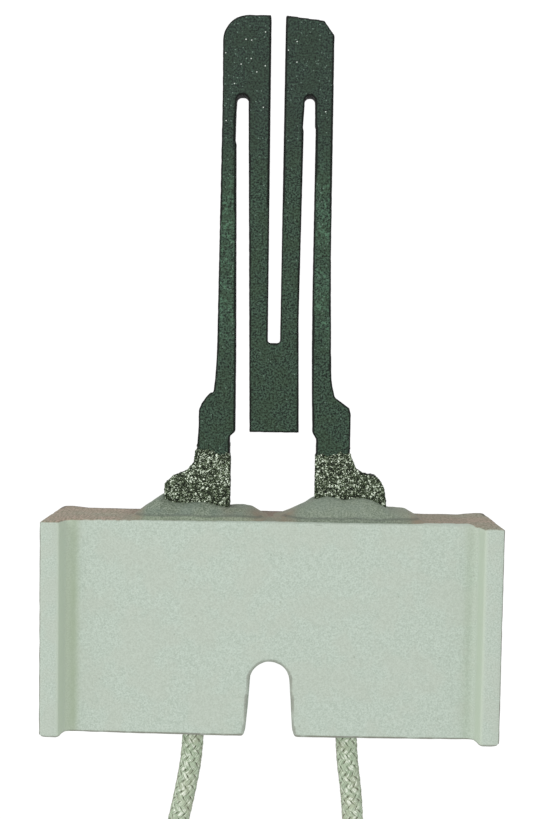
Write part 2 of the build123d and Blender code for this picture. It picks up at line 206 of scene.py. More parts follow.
def steatite():
    """Pale grey-green fired ceramic: mottled, stained beside the ridges and brown on top."""
    s = Shader("steatite")
    x, y, z = s.parts(s.place)
    across = s.times(s.maths("ABSOLUTE", x), 1 / MM)
    up = s.times(y, 1 / MM)
    edge = s.attribute("edge")
    fine = s.noise(6.5, 3, 0.7)
    patches = s.noise(0.28, 3, 0.6)
    colour = s.mix(s.fade(fine, 0.3, 0.7), srgb(173, 187, 173), srgb(202, 215, 203))
    colour = s.mix(s.fade(patches, 0.42, 0.62, 0, 0.35), colour, srgb(191, 198, 184))

    # Painted shade beside each ridge, where the panel meets the ridge's wall: paler close to the
    # wall, and fainter on the right, where more light falls.
    front = s.fade(z, *FRONT_START)
    cove_shade = s.band(across, (19.7, 20.6), WALL_START)
    cove_shade = s.times(cove_shade, s.fade(s.noise(0.5, 3), 0.2, 0.7, 0.7, 1.0))
    cove_shade = s.times(cove_shade, s.fade(x, -0.02, 0.02, 1, 0.35))
    cove_shade_colour = s.mix(s.fade(across, 20.5, 21.35), srgb(175, 189, 166), srgb(197, 211, 190))
    cove_shade_colour = s.mix(s.fade(fine, 0.32, 0.68, 0.25, 0), cove_shade_colour, srgb(140, 156, 128))
    colour = s.mix(s.times(cove_shade, front), colour, cove_shade_colour)
    wall = s.band(across, WALL_START, WALL_END)
    colour = s.mix(s.times(wall, front), colour, srgb(197, 210, 192))

    # The brown of the top is streaked from back to front, and darker on the right and behind the
    # mounds of cement.
    browned = s.mix(s.fade(s.noise(0.22, 2), 0.35, 0.65), srgb(164, 161, 142), srgb(178, 159, 142))
    darker = s.times(s.fade(x, 0.012, 0.015), s.fade(x, 0.0195, 0.0215, 1, 0.35))
    browned = s.mix(s.times(darker, 0.3), browned, srgb(100, 88, 70))
    grit = s.noise(1.0, 2, 0.7, s.vector(s.times(x, 5 / MM), s.times(z, 1.2 / MM)))
    browned = s.mix(s.fade(grit, 0.36, 0.64, 0.85, 0), browned, srgb(118, 116, 96))
    middle = s.fade(across, *MOUNDS_END, 1, 0)
    between = s.times(middle, s.fade(z, *MOUNDS_BEHIND))
    browned = s.mix(s.times(between, 0.7), browned, srgb(122, 132, 112))
    behind = s.times(middle, s.fade(z, *MOUNDS_BEHIND, 1, 0))
    browned = s.mix(s.times(behind, 0.7), browned, srgb(116, 96, 80))
    last = s.times(s.fade(across, 15, 18, 1, 0), s.fade(z, 0.0014, 0.0022, 1, 0))
    browned = s.mix(s.times(last, 0.75), browned, srgb(60, 52, 40))

    # It stops a little behind the panel's front edge, more so on the right, and it covers the
    # ridges' ends.
    margin = s.plus(s.times(x, 0.035), z)
    margin = s.plus(margin, s.fade(s.noise(0.9, 2), 0.3, 0.7, -0.00015, 0.00015))
    margin = s.maths("SUBTRACT", margin, s.fade(across, 20.5, 21.8, 0, 0.0032))
    facing = s.parts(s.normal())
    top = s.times(s.fade(facing[1], 0.35, 0.8), s.fade(margin, 0.0085, 0.0088, 1, 0))
    colour = s.mix(top, colour, browned)

    # Darker colour on the edges: the outer ends, the bottom, the notch's lower part and the whole
    # back.
    bottom = s.times(s.fade(edge, 0.8, 1.0, 0, 0.8), s.fade(up, -5.6, -5.45, 1, 0))
    ends = s.times(s.fade(across, 23.62, 23.74), s.fade(edge, 0.3, 0.7))
    notch = s.times(s.fade(edge, 0.55, 0.95), s.fade(across, 3.0, 3.6, 1, 0))
    notch = s.times(notch, s.fade(up, 2.6, 3.2, 0.55, 0))
    edge_darkening = s.most(s.most(ends, bottom), notch)
    edge_darkening = s.times(edge_darkening, s.fade(s.noise(0.9, 2), 0.25, 0.6, 0.35, 0.9))
    colour = s.mix(edge_darkening, colour, srgb(108, 104, 92))
    rear = s.times(edge, s.fade(z, *REAR_END, 1, 0))
    rear = s.times(rear, s.fade(s.noise(0.5, 2), 0.3, 0.55, 0.3, 0.95))
    colour = s.mix(rear, colour, srgb(70, 60, 48))

    # Small pits, painted darker as shade in them.
    pits, chance = s.cells(0.9)
    speck = s.times(s.fade(pits, 0.05, 0.12, 1, 0), s.fade(s.parts(chance)[0], 0.85, 0.9))
    colour = s.mix(s.times(speck, 0.35), colour, srgb(120, 130, 110))
    s.set(Base_Color=colour, Roughness=s.fade(fine, 0.2, 0.8, 0.62, 0.82))
    s.bump(s.noise(4.0, 4, 0.6), 0.05, 0.35)
    return s.material


def silicon_carbide():
    """Dark green-grey silicon carbide: fine grain, pits with painted shade, pale crystals, and
    painted glints that are commoner at the tip.
    """
    s = Shader("silicon_carbide")
    x, y = s.parts(s.place)[:2]
    grain = s.noise(5.0, 2, 0.7)
    tint = s.noise(0.5, 3)
    colour = s.mix(s.fade(grain, 0.38, 0.62), srgb(14, 24, 18), srgb(74, 98, 81))
    colour = s.mix(s.fade(tint, 0.4, 0.65, 0, 0.3), colour, srgb(54, 72, 48))
    colour = s.mix(s.fade(y, 0.05, 0.06, 0, 0.35), colour, srgb(42, 50, 50))

    # The outer legs carry a thin glaze in patches, between the feet and the tip.
    legs = s.times(s.fade(s.maths("ABSOLUTE", x), 0.0035, 0.0045), s.fade(y, 0.05, 0.057, 1, 0))
    legs = s.times(legs, s.fade(y, 0.033, 0.038))
    patches = s.fade(s.noise(0.9, 2), 0.35, 0.6, 0.3, 1)
    glaze = s.times(s.fade(s.noise(4.0, 3, 0.8), 0.5, 0.6), patches)
    colour = s.mix(s.times(legs, glaze, 0.65), colour, srgb(98, 140, 112))

    # Small cells are pits, painted dark as shade in them, or painted glints (glitter), and large
    # ones are crystals or painted sparks of light. Each cell's random colour decides which, and the
    # painted glints are commoner towards the tip.
    large, chance = s.cells(2.8)
    crystal_chance, spark_chance = s.parts(chance)[1:3]
    small, chance = s.cells(4.5)
    pit_chance, glitter_chance = s.parts(chance)[:2]
    pit_chance = s.plus(pit_chance, s.times(legs, 0.12))
    pit = s.times(s.fade(small, 0.25, 0.5, 1, 0), s.fade(pit_chance, 0.84, 0.86))
    colour = s.mix(s.times(pit, 0.85), colour, srgb(12, 20, 14))
    crystal = s.times(s.fade(large, 0.1, 0.3, 1, 0), s.fade(crystal_chance, 0.92, 0.95))
    colour = s.mix(s.times(crystal, 0.5), colour, srgb(130, 152, 138))
    glitter_chance = s.plus(glitter_chance, s.fade(y, 0.052, 0.066, -0.07, 0.0))
    glitter_chance = s.plus(glitter_chance, s.times(legs, 0.06))
    painted_glitter = s.times(s.fade(small, 0.15, 0.4, 1, 0), s.fade(glitter_chance, 0.89, 0.92))
    colour = s.mix(s.times(painted_glitter, 0.6), colour, srgb(140, 168, 152))
    spark_chance = s.plus(spark_chance, s.fade(y, 0.05, 0.066, -0.03, 0.0))
    painted_spark = s.times(s.fade(large, 0.1, 0.24, 1, 0), s.fade(spark_chance, 0.978, 0.981))
    colour = s.mix(painted_spark, colour, srgb(235, 245, 235))

    # The sawn sides, picked by which way they face, and the edges are painted nearly black: the
    # sawn sides' own dark colour with painted shade over it, and painted shade along the edges.
    facing = s.parts(s.normal())
    side = s.fade(s.maths("ABSOLUTE", facing[2]), 0.35, 0.85, 1, 0)
    dark = s.most(side, s.fade(s.attribute("edge"), 0.6, 0.9, 0, 0.9))
    colour = s.mix(dark, colour, srgb(9, 11, 8))
    s.set(Base_Color=colour, Roughness=s.fade(grain, 0.3, 0.7, 0.5, 0.8), Specular_IOR_Level=0.2)
    s.bump(grain, 0.03, 0.5)
    return s.material


def sprayed_metal():
    """Arc-sprayed aluminium: frozen droplets, with painted shade in the gaps between them, painted
    glints on their tops and painted shade on its sides.
    """
    s = Shader("sprayed_metal")
    high = s.attribute("high")
    fleck = s.noise(8.0, 2, 0.6)
    wide = s.noise(2.5, 2, 0.6)
    height = s.plus(s.times(high, 0.25), s.times(fleck, 1.15))
    height = s.plus(height, s.fade(wide, 0.3, 0.7, -0.06, 0.04))
    # Painted shade: the low gaps between the droplets go nearly black.
    dark = s.mix(s.fade(height, 0.59, 0.67), srgb(3, 7, 1), srgb(72, 86, 60))
    colour = s.mix(s.fade(height, 0.7, 0.77), dark, srgb(134, 151, 120))
    # Painted glints: the highest droplets go nearly white.
    colour = s.mix(s.fade(height, 0.78, 0.83), colour, srgb(245, 255, 238))
    # Painted shade on the coat's sides.
    colour = s.mix(s.times(s.attribute("side"), 0.9), colour, srgb(12, 14, 8))
    s.set(Base_Color=colour, Roughness=s.fade(height, 0.5, 0.9, 0.8, 0.5), Specular_IOR_Level=0.3)
    s.set(Metallic=s.fade(height, 0.6, 0.85, 0.0, 0.4))
    s.bump(fleck, 0.06, 0.8)
    return s.material


def cement():
    """Smooth grey-green furnace cement, with a faint line between the mounds and the thin skirt."""
    s = Shader("cement")
    fine = s.noise(6.0, 3, 0.7)
    cloud = s.noise(0.5, 3, 0.6)
    x = s.parts(s.place)[0]
    upper = s.mix(s.fade(fine, 0.36, 0.64), srgb(92, 106, 88), srgb(150, 161, 144))
    upper = s.mix(s.fade(cloud, 0.4, 0.65, 0, 0.4), upper, srgb(114, 129, 120))
    upper = s.mix(s.fade(x, -0.002, 0.002, 0, 0.25), upper, srgb(150, 161, 144))
    paler = s.mix(s.fade(fine, 0.36, 0.64), srgb(122, 136, 114), srgb(164, 175, 152))
    darker = s.mix(s.fade(fine, 0.36, 0.64), srgb(94, 106, 90), srgb(140, 151, 134))
    lower = s.mix(s.fade(x, -0.002, 0.002), paler, darker)
    colour = s.mix(s.times(s.attribute("skirt"), 0.7), upper, lower)
    rusty = s.times(s.attribute("thin"), s.fade(s.noise(0.7, 2), 0.3, 0.7, 0.4, 0.9))
    colour = s.mix(rusty, colour, srgb(146, 131, 112))
    colour = s.mix(s.times(s.attribute("seam"), 0.55), colour, srgb(80, 88, 80))
    # Small holes, painted darker as shade in them.
    hole, chance = s.cells(1.3)
    speck = s.times(s.fade(hole, 0.08, 0.16, 1, 0), s.fade(s.parts(chance)[0], 0.8, 0.84))
    colour = s.mix(s.times(speck, 0.7), colour, srgb(76, 84, 68))
    s.set(Base_Color=colour, Roughness=s.fade(fine, 0.2, 0.8, 0.66, 0.86))
    s.bump(s.noise(3.5, 4, 0.6), 0.05, 0.4)
    return s.material


def glass_braid():
    """Treated glass yarn: grey-green filaments with painted glints, and painted shade where a yarn
    dips and on the lead's flanks.
    """
    s = Shader("glass_braid")
    along = s.attribute("along")
    across = s.attribute("across")
    thread = s.vector(s.times(across, 5), s.times(along, 0.9))
    streaks = s.noise(1.0, 2, 0.6, thread)
    patches = s.noise(0.6, 2)
    colour = s.mix(s.fade(streaks, 0.3, 0.7), srgb(142, 160, 132), srgb(208, 224, 197))
    colour = s.mix(s.fade(patches, 0.4, 0.65, 0, 0.4), colour, srgb(180, 184, 158))
    facing = s.parts(s.normal())
    # Painted shade: brownish and darker on the lead's flanks, where the surface turns away from the
    # front.
    colour = s.mix(s.fade(facing[2], 0.1, 0.5, 0.75, 0), colour, srgb(118, 102, 88))
    # Painted shade where a yarn dips under the others.
    dip_shade = s.fade(s.attribute("high"), 0.05, 0.45, 0.5, 0)
    colour = s.mix(dip_shade, colour, srgb(104, 118, 88))
    # Painted glints: near-white dashes on the high yarns along the lead's middle.
    spots = s.fade(s.noise(1.8, 1), 0.5, 0.54)
    painted_glint = s.times(s.fade(streaks, 0.46, 0.52), s.fade(s.attribute("high"), 0.45, 0.7))
    painted_glint = s.times(painted_glint, s.times(spots, s.fade(facing[2], 0.7, 0.88)))
    colour = s.mix(painted_glint, colour, srgb(244, 250, 234))
    s.set(Base_Color=colour, Roughness=s.fade(streaks, 0.3, 0.7, 0.65, 0.4))
    s.bump(streaks, 0.05, 0.6)
    return s.material


def insulation():
    """Silicone rubber under the braid, painted dark grey-green as the shade that shows through the
    braid's gaps.
    """
    s = Shader("insulation")
    film = s.noise(1.5, 3)
    colour = s.mix(s.fade(film, 0.3, 0.7), srgb(62, 74, 52), srgb(92, 104, 78))
    s.set(Base_Color=colour, Roughness=s.fade(film, 0.3, 0.7, 0.45, 0.6))
    s.bump(film, 0.02, 0.4)
    return s.material


def plated_metal(name, light, dark, roughness):
    """Drawn and plated wire or strip, with fine scratches and a slight tarnish."""
    s = Shader(name, Metallic=1.0)
    tarnish = s.noise(0.8, 3)
    scratches = s.noise(9.0, 2, 0.6)
    colour = s.mix(s.fade(tarnish, 0.35, 0.7), srgb(*light), srgb(*dark))
    s.set(Base_Color=colour, Roughness=s.fade(scratches, 0.3, 0.7, roughness, roughness + 0.18))
    s.bump(scratches, 0.01, 0.3)
    return s.material


def nylon():
    """Natural nylon: warm off-white, slightly translucent, with a fine moulded texture."""
    s = Shader("nylon", Subsurface_Weight=0.25, Subsurface_Scale=0.0006)
    cloud = s.noise(0.35, 2)
    texture = s.noise(7.0, 2)
    colour = s.mix(s.fade(cloud, 0.35, 0.7), srgb(232, 229, 214), srgb(220, 215, 196))
    # Painted highlight: paler along the edges.
    colour = s.mix(s.times(s.attribute("edge"), 0.25), colour, srgb(244, 242, 232))
    s.set(Base_Color=colour, Roughness=s.fade(texture, 0.3, 0.7, 0.36, 0.5))
    s.bump(texture, 0.015, 0.35)
    return s.material


def tie_plastic():
    """Milky plastic tape over a wire, ribbed and a little scuffed."""
    s = Shader("tie_plastic")
    ribs = s.nodes.new("ShaderNodeTexWave")
    ribs.bands_direction = "Y"
    s.put(ribs.inputs["Vector"], s.place)
    s.put(ribs.inputs["Scale"], 0.55 / MM)
    s.put(ribs.inputs["Distortion"], 0.4)
    scuffs = s.noise(2.5, 3)
    colour = s.mix(s.fade(scuffs, 0.35, 0.7), srgb(226, 227, 222), srgb(206, 208, 201))
    s.set(Base_Color=colour, Roughness=s.fade(scuffs, 0.3, 0.7, 0.3, 0.5))
    s.bump(ribs.outputs["Fac"], 0.03, 0.5)
    return s.material


# ---------------------------------------------------------------- mesh tools
def link(name, mesh, material=None, flat=False):
    """A new object for a mesh, in the scene."""
    piece = bpy.data.objects.new(name, mesh)
    bpy.context.scene.collection.objects.link(piece)
    if material:
        mesh.materials.clear()
        mesh.materials.append(material)
    mesh.polygons.foreach_set("use_smooth", [not flat] * len(mesh.polygons))
    mesh.update()
    return piece


def points_of(mesh):
    flat = np.zeros(len(mesh.vertices) * 3, np.float32)
    mesh.vertices.foreach_get("co", flat)
    return flat.reshape(-1, 3).astype(float)


def normals_of(mesh):
    flat = np.zeros(len(mesh.vertices) * 3, np.float32)
    mesh.vertex_normals.foreach_get("vector", flat)
    return flat.reshape(-1, 3).astype(float)


def move_points(mesh, points):
    mesh.vertices.foreach_set("co", points.astype(np.float32).ravel())
    mesh.update()


def write(mesh, name, values):
    """Stores one number for each vertex, for a shader to read."""
    mesh.attributes.new(name, "FLOAT", "POINT").data.foreach_set("value", values.astype(np.float32))


def field(points, per_mm, shift=0.0):
    """Smooth noise from -1 to 1 at each point."""
    scale = per_mm / MM
    moved = Vector((shift, shift, shift))
    return np.array([noise.noise(Vector(p) * scale + moved) for p in points])


def grains(points, per_mm):
    """1 at scattered points, falling to 0 between them."""
    scale = per_mm / MM
    return np.clip([1 - noise.voronoi(Vector(p) * scale)[0][0] * 1.25 for p in points], 0, 1)


SHARP_TURN = 0.5
EDGE_SPREADS = 2
WELD = 1e-7


def edges_of(mesh):
    """0 on flat stretches to 1 along sharp edges, from how much the normals turn there."""
    ends = np.zeros(len(mesh.edges) * 2, np.int32)
    mesh.edges.foreach_get("vertices", ends)
    first, second = ends.reshape(-1, 2).T
    normals = normals_of(mesh)
    turn = np.arccos(np.clip((normals[first] * normals[second]).sum(1), -1, 1))
    value = np.zeros(len(mesh.vertices))
    np.maximum.at(value, first, turn)
    np.maximum.at(value, second, turn)
    value = np.clip(value / SHARP_TURN, 0, 1)
    for _ in range(EDGE_SPREADS):
        total = np.zeros_like(value)
        count = np.zeros_like(value)
        for here, there in ((first, second), (second, first)):
            np.add.at(total, here, value[there])
            np.add.at(count, here, 1)
        value = (value + total / np.maximum(count, 1)) / 2
    return value


def solid(name, parts, voxel_mm, smoothing, material):
    """One closed, evenly meshed piece from overlapping closed meshes, with softened edges."""
    joined = bmesh.new()
    for part in parts:
        joined.from_mesh(part)
    bmesh.ops.remove_doubles(joined, verts=joined.verts, dist=WELD)
    mesh = bpy.data.meshes.new(name)
    joined.to_mesh(mesh)
    joined.free()
    source = bpy.data.objects.new(name + "_source", mesh)
    bpy.context.scene.collection.objects.link(source)
    grid = source.modifiers.new("grid", "REMESH")
    grid.mode = "VOXEL"
    grid.voxel_size = voxel_mm * MM
    if smoothing:
        soften = source.modifiers.new("soften", "SMOOTH")
        soften.iterations = smoothing
    graph = bpy.context.evaluated_depsgraph_get()
    result = bpy.data.meshes.new_from_object(source.evaluated_get(graph))
    bpy.data.objects.remove(source)
    return link(name, result, material)


def cad_mesh(node):
    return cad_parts[node].data


def lofted(strands):
    """One mesh of closed tubes. Each strand is an array whose shape is (rings, sides, 3)."""
    points, faces, start = [], [], 0
    for rings in strands:
        count, sides = rings.shape[:2]
        index = start + np.arange(count * sides).reshape(count, sides)
        after = np.roll(index, -1, axis=1)
        quads = np.stack([index[:-1], after[:-1], after[1:], index[1:]], axis=-1).reshape(-1, 4)
        points.append(rings.reshape(-1, 3))
        faces += quads.tolist() + [index[0][::-1].tolist(), index[-1].tolist()]
        start += count * sides
    mesh = bpy.data.meshes.new("lofted")
    mesh.from_pydata(np.concatenate(points).tolist(), [], faces)
    mesh.update()
    return mesh


def finish_piece(piece, slot, *nodes):
    """The piece rides on the body and stands for its CAD nodes, which it hides."""
    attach(piece, "root")
    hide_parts(*nodes)
    return piece


# ---------------------------------------------------------------- leads
# The routes' control points, in millimetres. They are close to the CAD leads' routes.
LEAD_ROUTES = {
    "left": [
        (-8.25, 4.1, 5.55),
        (-7.95, -7.0, 5.55),
        (-9.4, -15.5, 3.9),
        (-11.7, -25.0, 1.7),
        (-10.9, -36.0, 1.15),
        (-8.2, -47.0, 1.15),
        (-6.8, -57.0, 1.4),
        (-6.4, -67.5, 1.8),
        (-7.9, -75.5, 1.3),
        (-8.4, -83.0, 1.15),
        (-4.8, -90.8, 1.15),
        (3.2, -94.3, 1.15),
        (11.3, -91.0, 1.15),
        (15.1, -83.0, 1.15),
        (14.5, -75.5, 1.35),
        (13.6, -68.5, 1.75),
        (15.0, -60.5, 3.1),
        (15.0, -54.0, 3.1),
    ],
    "right": [
        (8.3, 4.1, 5.55),
        (8.15, -7.0, 5.55),
        (9.45, -15.5, 4.0),
        (9.7, -24.5, 1.8),
        (5.6, -33.0, 1.15),
        (0.0, -40.5, 1.15),
        (-3.4, -49.0, 1.15),
        (-4.2, -58.0, 1.4),
        (-3.9, -67.5, 1.8),
        (-5.2, -75.0, 1.3),
        (-5.6, -80.8, 1.15),
        (-3.4, -86.2, 1.15),
        (1.2, -89.4, 1.15),
        (6.5, -89.3, 1.15),
        (10.8, -86.1, 1.15),
        (12.4, -80.6, 1.15),
        (11.3, -74.5, 1.35),
        (9.7, -68.5, 1.75),
        (10.0, -60.5, 3.1),
        (10.0, -54.0, 3.1),
    ],
}

# A 16-carrier braid: eight yarns wind each way, over one and under one.
YARNS = 8
LAY = 11.0 * MM
YARN_RADIUS = 1.05 * MM
YARN_WEAVE = 0.07 * MM
YARN_HALF_WIDTH = 0.35 * MM
YARN_HALF_THICKNESS = 0.075 * MM
YARN_SECTION = ((-1, 0), (-0.5, 1), (0.5, 1), (1, 0), (0.5, -1), (-0.5, -1))
YARN_UNEVEN = 0.22
YARN_STEP = 0.18 * MM

SLEEVE_INNER = 0.62 * MM
SLEEVE_OUTER = 0.86 * MM
SLEEVE_PAST_START = 0.5 * MM
SLEEVE_PAST_END = 0.7 * MM
SLEEVE_SIDES = 20
WIRES_PAST_START = 4.08 * MM
WIRES_PAST_END = 5.0 * MM
WIRE_RADIUS = 0.18 * MM
WIRE_LAY = 9.0 * MM
WIRE_SIDES = 6
OUTER_WIRES = 6
ROUND_STEP = 0.5 * MM


def spline_points(route):
    """The points of the smooth line whose control points are the route's."""
    curve = bpy.data.curves.new("route", "CURVE")
    curve.dimensions = "3D"
    curve.resolution_u = 24
    spline = curve.splines.new("NURBS")
    spline.points.add(len(route) - 1)
    for point, place in zip(spline.points, route):
        point.co = (*mm(*place), 1)
    spline.order_u = 3
    spline.use_endpoint_u = True
    carrier = bpy.data.objects.new("route", curve)
    bpy.context.scene.collection.objects.link(carrier)
    mesh = bpy.data.meshes.new_from_object(carrier)
    bpy.data.objects.remove(carrier)
    return points_of(mesh)


class Line:
    """A lead's centre line, with a steady frame along it for what winds round it.

    It may run on past the route's start and end.
    """

    def __init__(self, points, before=0.0, after=0.0):
        back, ahead = points[0] - points[1], points[-1] - points[-2]
        start = points[0] + back / np.linalg.norm(back) * before
        end = points[-1] + ahead / np.linalg.norm(ahead) * after
        self.points = np.vstack([start, points[1:-1], end])
        runs = np.linalg.norm(np.diff(self.points, axis=0), axis=1)
        self.distance = np.concatenate([[0], np.cumsum(runs)])
        self.length = self.distance[-1]
        self.tangents = np.gradient(self.points, self.distance, axis=0)
        self.tangents /= np.linalg.norm(self.tangents, axis=1)[:, None]
        side = np.array([1.0, 0, 0])
        sides = []
        for tangent in self.tangents:
            side = side - tangent * side.dot(tangent)
            side /= np.linalg.norm(side)
            sides.append(side)
        self.sides = np.array(sides)
        self.ups = np.cross(self.tangents, self.sides)

    def at(self, table, along):
        return np.stack([np.interp(along, self.distance, table[:, i]) for i in range(3)], axis=-1)

    def place(self, along, angle, radius):
        """Points at a distance along the line, an angle round it and a radius from it."""
        out = self.at(self.sides, along) * np.cos(angle)[..., None]
        out = out + self.at(self.ups, along) * np.sin(angle)[..., None]
        return self.at(self.points, along) + out * radius[..., None]

    def tube(self, radius, sides, wind=0.0, offset=0.0, turn=0.0):
        """Rings of a round tube. With a wind, it is a strand that turns round the line."""
        stations = np.linspace(0, self.length, int(self.length / ROUND_STEP))
        angles = np.linspace(0, 2 * np.pi, sides, endpoint=False)
        along, angle = np.meshgrid(stations, angles, indexing="ij")
        centre_angle = turn + (2 * np.pi * along / wind if wind else 0 * along)
        x = offset * np.cos(centre_angle) + radius * np.cos(angle)
        y = offset * np.sin(centre_angle) + radius * np.sin(angle)
        return self.place(along, np.arctan2(y, x), np.hypot(x, y))


def braid(name, line, material):
    """Flat yarns winding both ways round the line, each over one and under one of the others."""
    steps = int(line.length / YARN_STEP)
    slope = math.atan(2 * math.pi * YARN_RADIUS / LAY)
    section = np.array(YARN_SECTION)
    strands, high, across, along_all = [], [], [], []
    margin = YARN_HALF_WIDTH * math.sin(slope)
    centre = np.linspace(margin, line.length - margin, steps)[:, None]
    for hand in (1, -1):
        for k in range(YARNS):
            seeds = [(s / LAY * 3, k * 7.3, hand * 3.1) for s in centre[:, 0]]
            loose = 1 + YARN_UNEVEN * np.array([noise.noise(Vector(seed)) for seed in seeds])
            wave = np.cos(YARNS * 2 * np.pi * centre / LAY) * hand
            spread = section[:, 0] * YARN_HALF_WIDTH * loose[:, None]
            radius = YARN_RADIUS + YARN_WEAVE * wave + section[:, 1] * YARN_HALF_THICKNESS
            along = centre - hand * spread * math.sin(slope)
            angle = hand * 2 * np.pi * centre / LAY + 2 * np.pi * k / YARNS
            angle = angle + spread * math.cos(slope) / YARN_RADIUS
            strands.append(line.place(along, angle, radius))
            high.append(np.broadcast_to((wave + 1) / 2, radius.shape))
            across.append(np.broadcast_to(section[:, 0], radius.shape) + 3 * k + 40 * hand)
            along_all.append(np.broadcast_to(centre / MM, radius.shape))
    piece = link(name, lofted(strands), material)
    for key, values in (("high", high), ("across", across), ("along", along_all)):
        write(piece.data, key, np.concatenate([v.ravel() for v in values]))
    return piece


braid_look = glass_braid()
sleeve_look = insulation()
wire_look = plated_metal("nickel_copper", (206, 200, 188), (176, 166, 150), 0.28)
for side in SIDES:
    route_points = spline_points(LEAD_ROUTES[side])
    line = Line(route_points)
    cover = braid(f"braid_{side}", line, braid_look)
    finish_piece(cover, "glass_braid", f"lead_{side}")

    sleeve_line = Line(route_points, SLEEVE_PAST_START, SLEEVE_PAST_END)
    outside = sleeve_line.tube(SLEEVE_OUTER, SLEEVE_SIDES)
    inside = sleeve_line.tube(SLEEVE_INNER, SLEEVE_SIDES)[::-1]
    wall = np.concatenate([outside, inside, outside[:1]])
    sleeve = link(f"sleeve_{side}", lofted([wall]), sleeve_look)
    finish_piece(sleeve, "insulation", f"lead_insulation_{side}")

    wire_line = Line(route_points, WIRES_PAST_START, WIRES_PAST_END)
    wires = [wire_line.tube(WIRE_RADIUS, WIRE_SIDES)]
    for k in range(OUTER_WIRES):
        turn = 2 * math.pi / OUTER_WIRES * k
        wires.append(wire_line.tube(WIRE_RADIUS, WIRE_SIDES, WIRE_LAY, 2 * WIRE_RADIUS, turn))
    strands = link(f"wires_{side}", lofted(wires), wire_look)
    finish_piece(strands, "nickel_copper", f"lead_conductor_{side}")

# ---------------------------------------------------------------- floor and light
# The floor shines white to the camera only, so it adds nothing to the light on the part.
FLOOR_HALF = 2.5
FLOOR_HEIGHT = -0.00009
SKY_STRENGTH = 0.78
floor_mesh = bpy.data.meshes.new("floor")
corners = ((-1, -1), (1, -1), (1, 1), (-1, 1))
floor_points = [(x * FLOOR_HALF, y * FLOOR_HALF, FLOOR_HEIGHT) for x, y in corners]
floor_mesh.from_pydata(floor_points, [], [(0, 1, 2, 3)])
floor_shader = Shader("floor", Roughness=0.9, Base_Color=(0.05, 0.05, 0.05, 1))
floor_shader.set(Emission_Color=(1, 1, 1, 1), Emission_Strength=1.0)
floor = link("floor", floor_mesh, floor_shader.material, flat=True)
floor.visible_diffuse = False
floor.visible_glossy = False

world = bpy.data.worlds.new("studio")
bpy.context.scene.world = world
world.use_nodes = True
sky = world.node_tree.nodes["Background"]
sky.inputs["Color"].default_value = (1, 1, 1, 1)
sky.inputs["Strength"].default_value = SKY_STRENGTH


def lamp(name, place, size, energy):
    """A square soft light that points at the block's top."""
    light = bpy.data.lights.new(name, "AREA")
    light.size = size
    light.energy = energy
    holder = bpy.data.objects.new(name, light)
    bpy.context.scene.collection.objects.link(holder)
    holder.location = place
    holder.rotation_euler = (mm(0, 20, 5) - Vector(place)).to_track_quat("-Z", "Y").to_euler()


KEY_PLACE = (-0.28, 0.25, 0.5)
KEY_SIZE = 0.3
KEY_ENERGY = 1.0
lamp("key", KEY_PLACE, KEY_SIZE, KEY_ENERGY)

bpy.context.scene.view_settings.view_transform = "Standard"
bpy.context.scene.view_settings.look = "None"

# ---------------------------------------------------------------- block
# Here and below: voxel sizes and depths in millimetres.
BLOCK_VOXEL = 0.22
EDGE_GAIN = 1.2
# The pressed block's bottom edge is a little low, more so in its middle.
BOTTOM_SAG = 0.1
BOTTOM_BOW = 0.14
BOW_HALF_WIDTH = 21
SAG_START = (-5.2, -1.5)
BLOCK_WAVE = 0.012
BLOCK_RIPPLE = 0.008
BLOCK_CHIP = 0.04
block = solid("igniter_block", [cad_mesh("ceramic_block")], BLOCK_VOXEL, 0, steatite())
block_edge = edges_of(block.data)
write(block.data, "edge", np.clip(block_edge * EDGE_GAIN, 0, 1))
block_points = points_of(block.data)
wavy = BLOCK_WAVE * field(block_points, 0.22) + BLOCK_RIPPLE * field(block_points, 1.1)
chips = -BLOCK_CHIP * block_edge * np.clip(field(block_points, 0.8, shift=9.1) + 0.25, 0, 1)
bowed = block_points + normals_of(block.data) * ((wavy + chips) * MM)[:, None]
block_x, block_y = block_points[:, 0] / MM, block_points[:, 1] / MM
sag = BOTTOM_SAG + BOTTOM_BOW * np.clip(1 - (block_x / BOW_HALF_WIDTH) ** 2, 0, 1)
bowed[:, 1] -= sag * (1 - smooth(block_y, *SAG_START)) * MM
move_points(block.data, bowed)
finish_piece(block, "steatite", "ceramic_block")
block_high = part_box("ceramic_block")[1]

# ---------------------------------------------------------------- strip
STRIP_VOXEL = 0.14
STRIP_ROUGH = 0.012
STRIP_GRAIN = 0.008
STRIP_NICK = 0.05
strip_parts = [cad_mesh("heating_element")]
strip = solid("igniter_strip", strip_parts, STRIP_VOXEL, 0, silicon_carbide())
strip_edge = edges_of(strip.data)
write(strip.data, "edge", strip_edge)
strip_points = points_of(strip.data)
rough = STRIP_ROUGH * field(strip_points, 2.6) + STRIP_GRAIN * field(strip_points, 5.2)
nicks = -STRIP_NICK * strip_edge * np.clip(field(strip_points, 1.3, shift=4.7), 0, 1)
move_points(strip.data, strip_points + normals_of(strip.data) * ((rough + nicks) * MM)[:, None])
finish_piece(strip, "silicon_carbide", "heating_element")


# ---------------------------------------------------------------- sprayed feet
def front_outline(mesh):
    """The corners of a prism's largest flat face that looks forward, in order."""
    cut = bmesh.new()
    cut.from_mesh(mesh)
    bmesh.ops.remove_doubles(cut, verts=cut.verts, dist=WELD)
    bmesh.ops.dissolve_limit(cut, angle_limit=0.02, verts=cut.verts, edges=cut.edges)
    cut.normal_update()
    fronts = [f for f in cut.faces if f.normal.z > 0.9]
    corners = [v.co.copy() for v in max(fronts, key=lambda f: f.calc_area()).verts]
    cut.free()
    return corners


